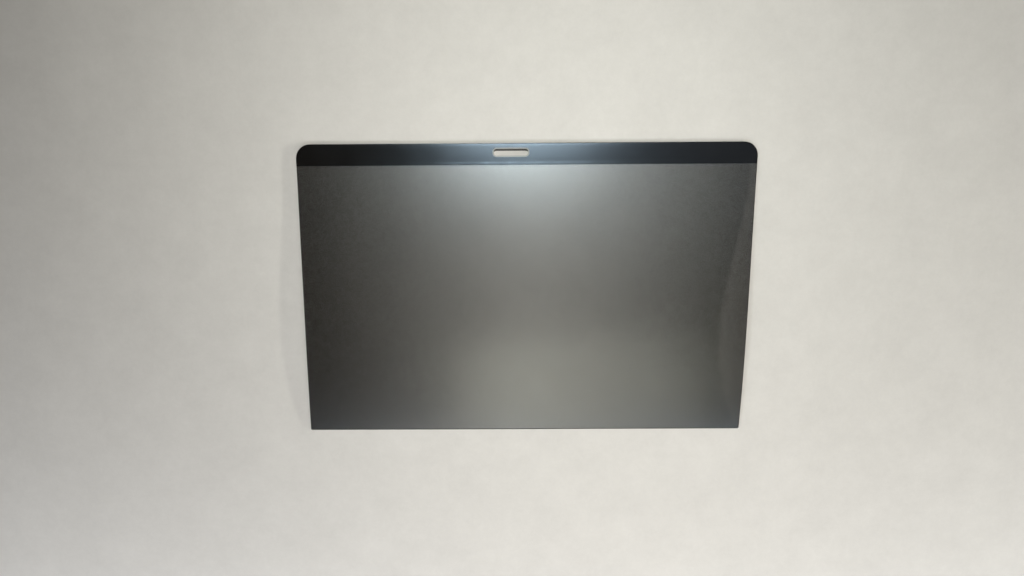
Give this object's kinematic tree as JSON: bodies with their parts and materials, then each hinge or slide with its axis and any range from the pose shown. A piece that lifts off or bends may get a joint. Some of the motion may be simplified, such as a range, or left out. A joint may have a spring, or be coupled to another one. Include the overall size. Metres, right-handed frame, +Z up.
{
  "type": "laptop privacy filter",
  "caption": "Thin louvred privacy film for a laptop screen, with a black top border, a camera slot and a magnetic strip behind the border that holds it to the lid.",
  "frame": {"origin": "on the table, under the middle of the sheet", "axes": "+X along the top edge to the right as seen from the front, +Y towards the top edge with the black border, +Z up out of the front face"},
  "size_m": [0.299, 0.197, 0.0029],
  "materials": {
    "louvre_film": "satin see-through plastic with fine dark louvres inside, clear from straight ahead and dark from the sides",
    "border_black": "thin glossy black layer on the front of the film",
    "magnet_rubber": "matt black flexible magnet"
  },
  "bodies": {
    "root": {"privacy_film": "louvre_film", "black_border": "border_black", "magnet_strip": "magnet_rubber"}
  },
  "joints": []
}
